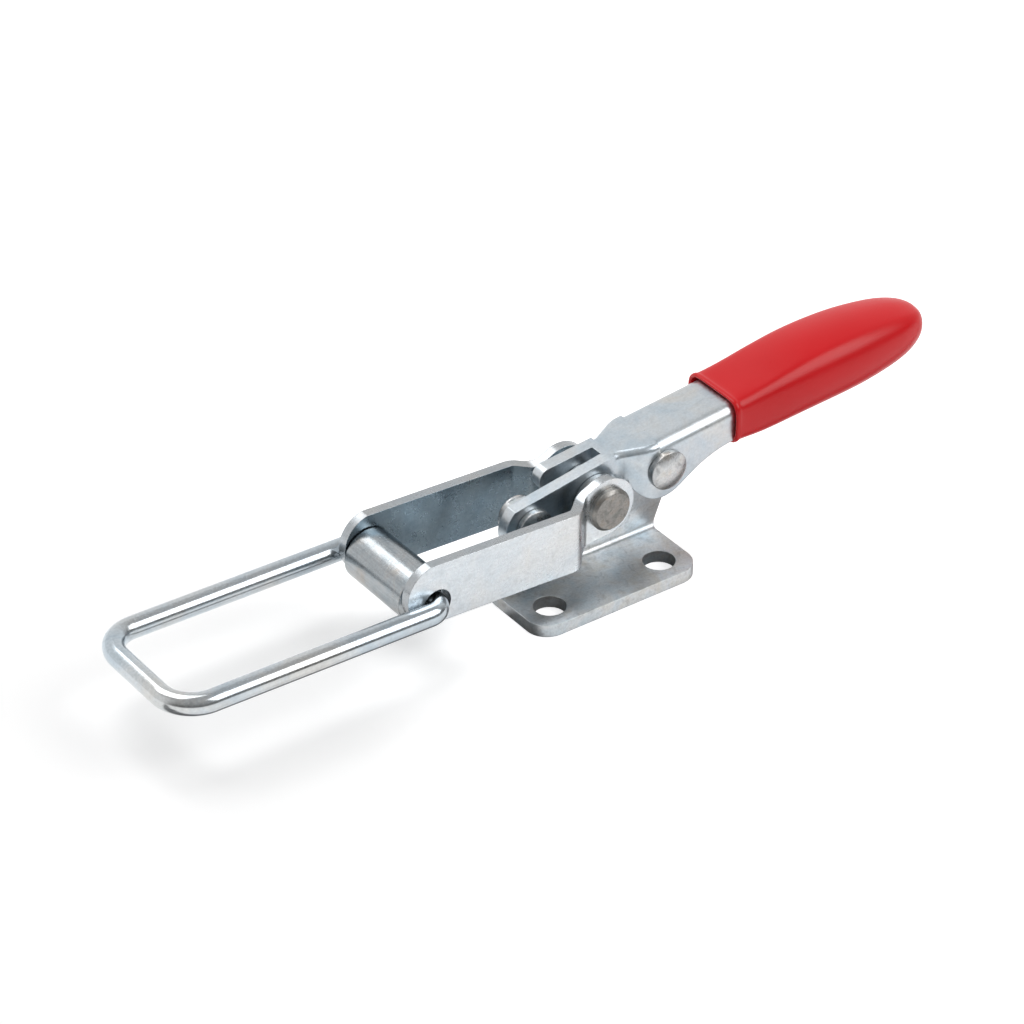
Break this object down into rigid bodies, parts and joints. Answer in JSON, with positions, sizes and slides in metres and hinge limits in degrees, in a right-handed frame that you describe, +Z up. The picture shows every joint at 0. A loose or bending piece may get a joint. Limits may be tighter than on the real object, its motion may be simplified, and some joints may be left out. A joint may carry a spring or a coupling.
{
  "type": "over centre toggle latch",
  "caption": "Over-centre toggle latch: a flanged base carries a sleeved lever that pulls joggled links and a wire loop over a catch.",
  "frame": {"origin": "midway between the two mounting holes, on the mounting face under the flange", "axes": "+X from the wire loop towards the grip, +Z up from the mounting face, +Y from the flange towards the upright web"},
  "size_m": [0.1983, 0.0361, 0.0356],
  "materials": {
    "plated_sheet": "bright zinc plate on cold rolled sheet",
    "plated_wire": "bright zinc plate on drawn wire",
    "plated_bar": "zinc plate on turned bar",
    "rivet_steel": "zinc plate on formed rivet heads",
    "red_vinyl": "semi-gloss red vinyl sleeve"
  },
  "bodies": {
    "base": {"base_bracket": "plated_sheet", "main_pivot_rivet": "rivet_steel"},
    "lever": {"handle_lever": "plated_sheet", "grip_sleeve": "red_vinyl", "stop_rivet": "rivet_steel", "link_spacer": "plated_bar", "pin_washer_left": "plated_bar", "pin_washer_right": "plated_bar"},
    "links": {"draw_link_left": "plated_sheet", "draw_link_right": "plated_sheet", "link_pin": "rivet_steel"},
    "roller": {"roller_tube": "plated_bar"},
    "bail": {"wire_bail": "plated_wire"}
  },
  "joints": [
    {"name": "lever_swing", "type": "hinge", "parent": "base", "child": "lever", "pos_m": [-0.0125, 0.0125, 0.0172], "axis": [0, -1, 0], "range_deg": [0, 110]},
    {"name": "link_swing", "type": "hinge", "parent": "lever", "child": "links", "pos_m": [0.0034, 0.0125, 0.0181], "axis": [0, 1, 0], "range_deg": [0, 101.2]},
    {"name": "roller_spin", "type": "hinge", "parent": "links", "child": "roller", "pos_m": [-0.04325, 0.0125, 0.01516], "axis": [0, 1, 0], "continuous": true},
    {"name": "bail_swing", "type": "hinge", "parent": "links", "child": "bail", "pos_m": [-0.0417, 0.0125, 0.0146], "axis": [0, 1, 0], "range_deg": [-95, 150]}
  ],
  "couplings": [
    {"joint": "link_swing", "follows": "lever_swing", "ratio": 0.92}
  ]
}
